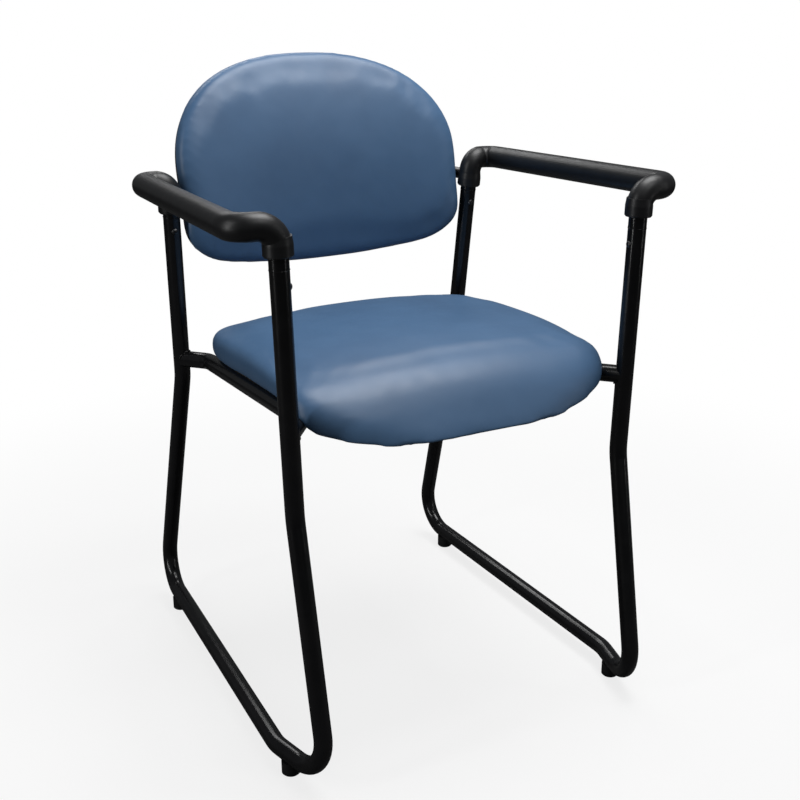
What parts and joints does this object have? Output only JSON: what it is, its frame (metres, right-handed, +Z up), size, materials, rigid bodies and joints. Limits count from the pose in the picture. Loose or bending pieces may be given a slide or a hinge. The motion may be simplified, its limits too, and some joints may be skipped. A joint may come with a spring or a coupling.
{
  "type": "sled base visitor chair",
  "caption": "Visitor chair on a bent steel tube sled base, with upholstered seat and curved back and moulded armrests.",
  "frame": {"origin": "on the floor, under the middle of the chair's bounding box", "axes": "+X to the viewer's right when facing the chair, the sitter faces -Y, +Z is up"},
  "size_m": [0.5832, 0.5927, 0.8132],
  "materials": {
    "black_powder_coat": "semi-gloss black powder coat",
    "black_screw": "black zinc plate",
    "tube_weld": "rippled weld bead under the powder coat",
    "arm_moulding": "satin black skinned moulding",
    "glide_plastic": "black nylon with a light grain",
    "shell_plastic": "fine-grained black moulding",
    "blue_vinyl": "smooth blue vinyl with a soft sheen",
    "plywood": "unfinished plywood",
    "dust_cloth": "black non-woven cloth",
    "zinc_steel": "bright zinc plate"
  },
  "bodies": {
    "root": {"arm_core_screws": "black_screw", "back_board": "plywood", "back_bolts": "black_screw", "back_cushion": "blue_vinyl", "back_shell": "shell_plastic", "back_straps": "black_powder_coat", "back_support_bar": "black_powder_coat", "back_tee_nuts": "zinc_steel", "crossbar_welds": "tube_weld", "front_seat_crossbar": "black_powder_coat", "left_arm_core": "black_powder_coat", "left_armrest_grip": "arm_moulding", "left_front_glide": "glide_plastic", "left_rear_glide": "glide_plastic", "left_seat_rail": "black_powder_coat", "left_side_frame": "black_powder_coat", "rear_seat_crossbar": "black_powder_coat", "right_arm_core": "black_powder_coat", "right_armrest_grip": "arm_moulding", "right_front_glide": "glide_plastic", "right_rear_glide": "glide_plastic", "right_seat_rail": "black_powder_coat", "right_side_frame": "black_powder_coat", "seat_board": "plywood", "seat_bolts": "black_screw", "seat_cushion": "blue_vinyl", "seat_dust_cover": "dust_cloth", "seat_mounting_tabs": "black_powder_coat", "seat_rail_welds": "tube_weld", "seat_tee_nuts": "zinc_steel"}
  },
  "joints": []
}
